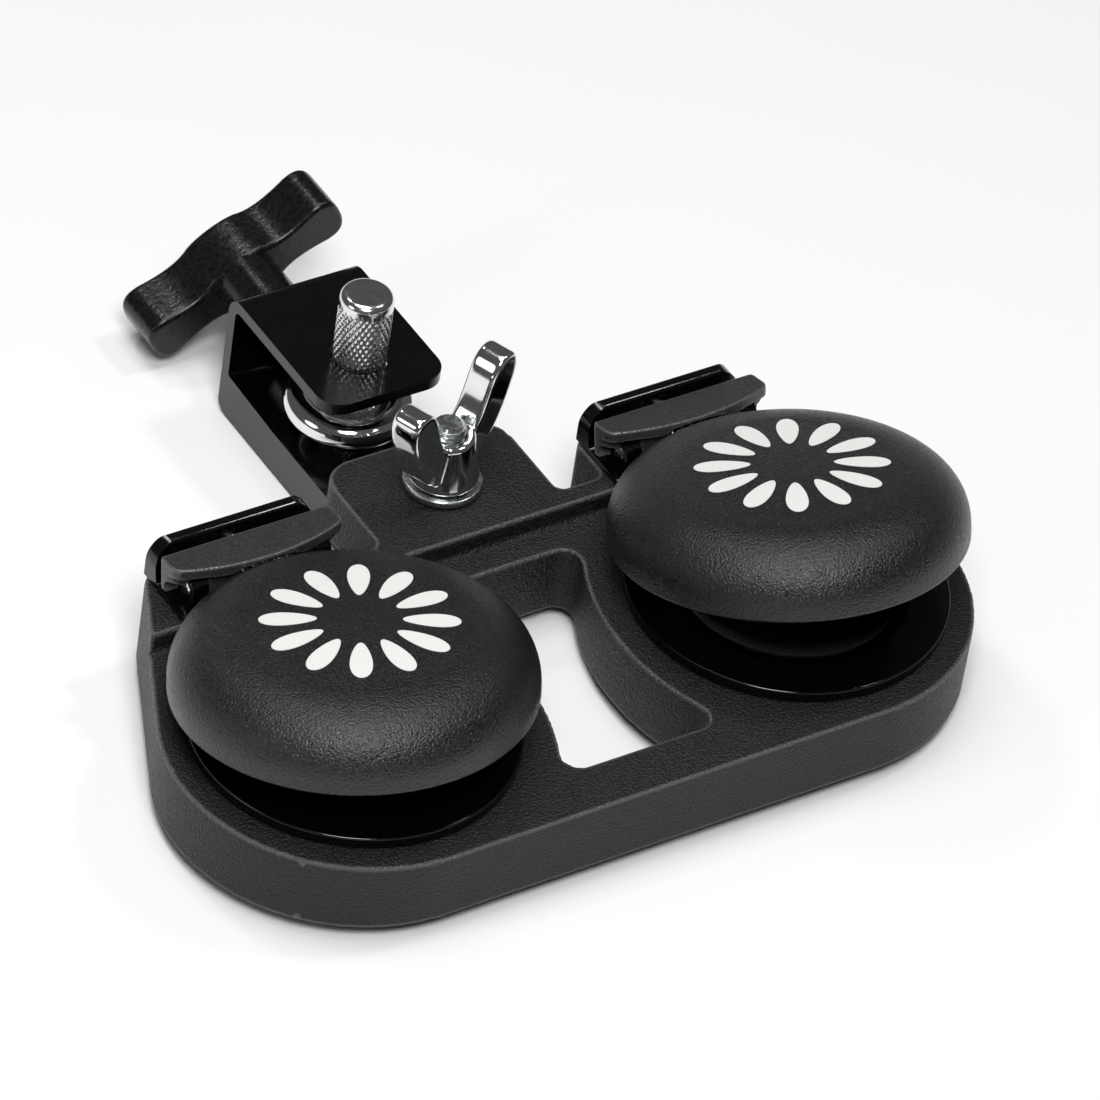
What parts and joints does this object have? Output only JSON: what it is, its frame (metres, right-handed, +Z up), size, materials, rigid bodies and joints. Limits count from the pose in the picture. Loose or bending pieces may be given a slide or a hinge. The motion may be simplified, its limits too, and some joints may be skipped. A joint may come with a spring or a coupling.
{
  "type": "castanet machine",
  "caption": "Tabletop castanet machine: sprung castanets hinged on a shared frame, with a swivelling bracket at the back that clamps a stand rod",
  "frame": {"origin": "middle of the bounding box's bottom, on the surface that the feet stand on", "axes": "+Z up; +X to the player's right, through both castanets; +Y away from the player, towards the rod clamp"},
  "size_m": [0.15, 0.1518, 0.0444],
  "materials": {
    "base_plastic": "coarse moulded texture, black",
    "dome_plastic": "fine grained satin, black",
    "block_plastic": "fine grained satin, black",
    "gloss_shell": "polished black",
    "gloss_bracket": "glossy black",
    "handle_plastic": "satin black",
    "painted_steel": "gloss black powder coat over steel",
    "knurled_chrome": "diamond knurled, chrome plated",
    "chrome": "polished chrome plate",
    "spring_steel": "drawn wire",
    "zinc_steel": "bright zinc plate",
    "foot_rubber": "matte black rubber"
  },
  "bodies": {
    "base": {"base_frame": "base_plastic", "flat_washer": "zinc_steel", "lower_shell_left": "gloss_shell", "hinge_bracket_left": "gloss_bracket", "hinge_pin_left": "chrome", "torsion_spring_left": "spring_steel", "foot_front_left": "foot_rubber", "foot_rear_left": "foot_rubber", "shell_screw_outer_left": "zinc_steel", "shell_screw_inner_left": "zinc_steel", "lower_shell_right": "gloss_shell", "hinge_bracket_right": "gloss_bracket", "hinge_pin_right": "chrome", "torsion_spring_right": "spring_steel", "foot_front_right": "foot_rubber", "foot_rear_right": "foot_rubber", "shell_screw_outer_right": "zinc_steel", "shell_screw_inner_right": "zinc_steel"},
    "clamp": {"clamp_bracket": "painted_steel", "carriage_bolt": "zinc_steel", "thrust_washer": "zinc_steel"},
    "wing_nut": {"wing_nut": "chrome"},
    "rod": {"mounting_rod": "knurled_chrome"},
    "eye": {"eye_bolt": "chrome"},
    "handle": {"clamp_handle": "handle_plastic"},
    "castanet_left": {"upper_shell_left": "dome_plastic", "hinge_block_left": "block_plastic"},
    "stop_left": {"stop_screw_left": "zinc_steel"},
    "castanet_right": {"upper_shell_right": "dome_plastic", "hinge_block_right": "block_plastic"},
    "stop_right": {"stop_screw_right": "zinc_steel"}
  },
  "joints": [
    {"name": "clamp_swivel", "type": "hinge", "parent": "base", "child": "clamp", "pos_m": [0, 0.00005, 0.0086], "axis": [0, 0, 1], "range_deg": [-30, 30]},
    {"name": "wing_nut_turn", "type": "hinge", "parent": "clamp", "child": "wing_nut", "pos_m": [0, 0.00005, 0.022], "axis": [0, 0, 1], "continuous": true},
    {"name": "rod_slide", "type": "slide", "parent": "clamp", "child": "rod", "axis": [0, 0, 1], "range_m": [0, 0.012]},
    {"name": "handle_turn", "type": "hinge", "parent": "clamp", "child": "handle", "pos_m": [0, 0.06855, 0.0147], "axis": [0, 1, 0], "range_deg": [0, 700]},
    {"name": "eye_slide", "type": "slide", "parent": "clamp", "child": "eye", "axis": [0, 1, 0], "range_m": [-0.00243, 0]},
    {"name": "castanet_left_hinge", "type": "hinge", "parent": "base", "child": "castanet_left", "pos_m": [-0.0425, -0.00895, 0.0243], "axis": [-1, 0, 0], "range_deg": [-9, 0], "stiffness_Nm_per_rad": 0.05, "springref_deg": 20.05},
    {"name": "stop_left_turn", "type": "hinge", "parent": "base", "child": "stop_left", "pos_m": [-0.0425, 0.00055, 0.0243], "axis": [0, 1, 0], "range_deg": [-180, 180]},
    {"name": "castanet_right_hinge", "type": "hinge", "parent": "base", "child": "castanet_right", "pos_m": [0.0425, -0.00895, 0.0243], "axis": [-1, 0, 0], "range_deg": [-14.5, 0], "stiffness_Nm_per_rad": 0.05, "springref_deg": 20.05},
    {"name": "stop_right_turn", "type": "hinge", "parent": "base", "child": "stop_right", "pos_m": [0.0425, 0.00055, 0.0243], "axis": [0, 1, 0], "range_deg": [-180, 180]}
  ],
  "couplings": [
    {"joint": "handle_turn", "follows": "eye_slide", "rad_per_m": -5026.6}
  ]
}
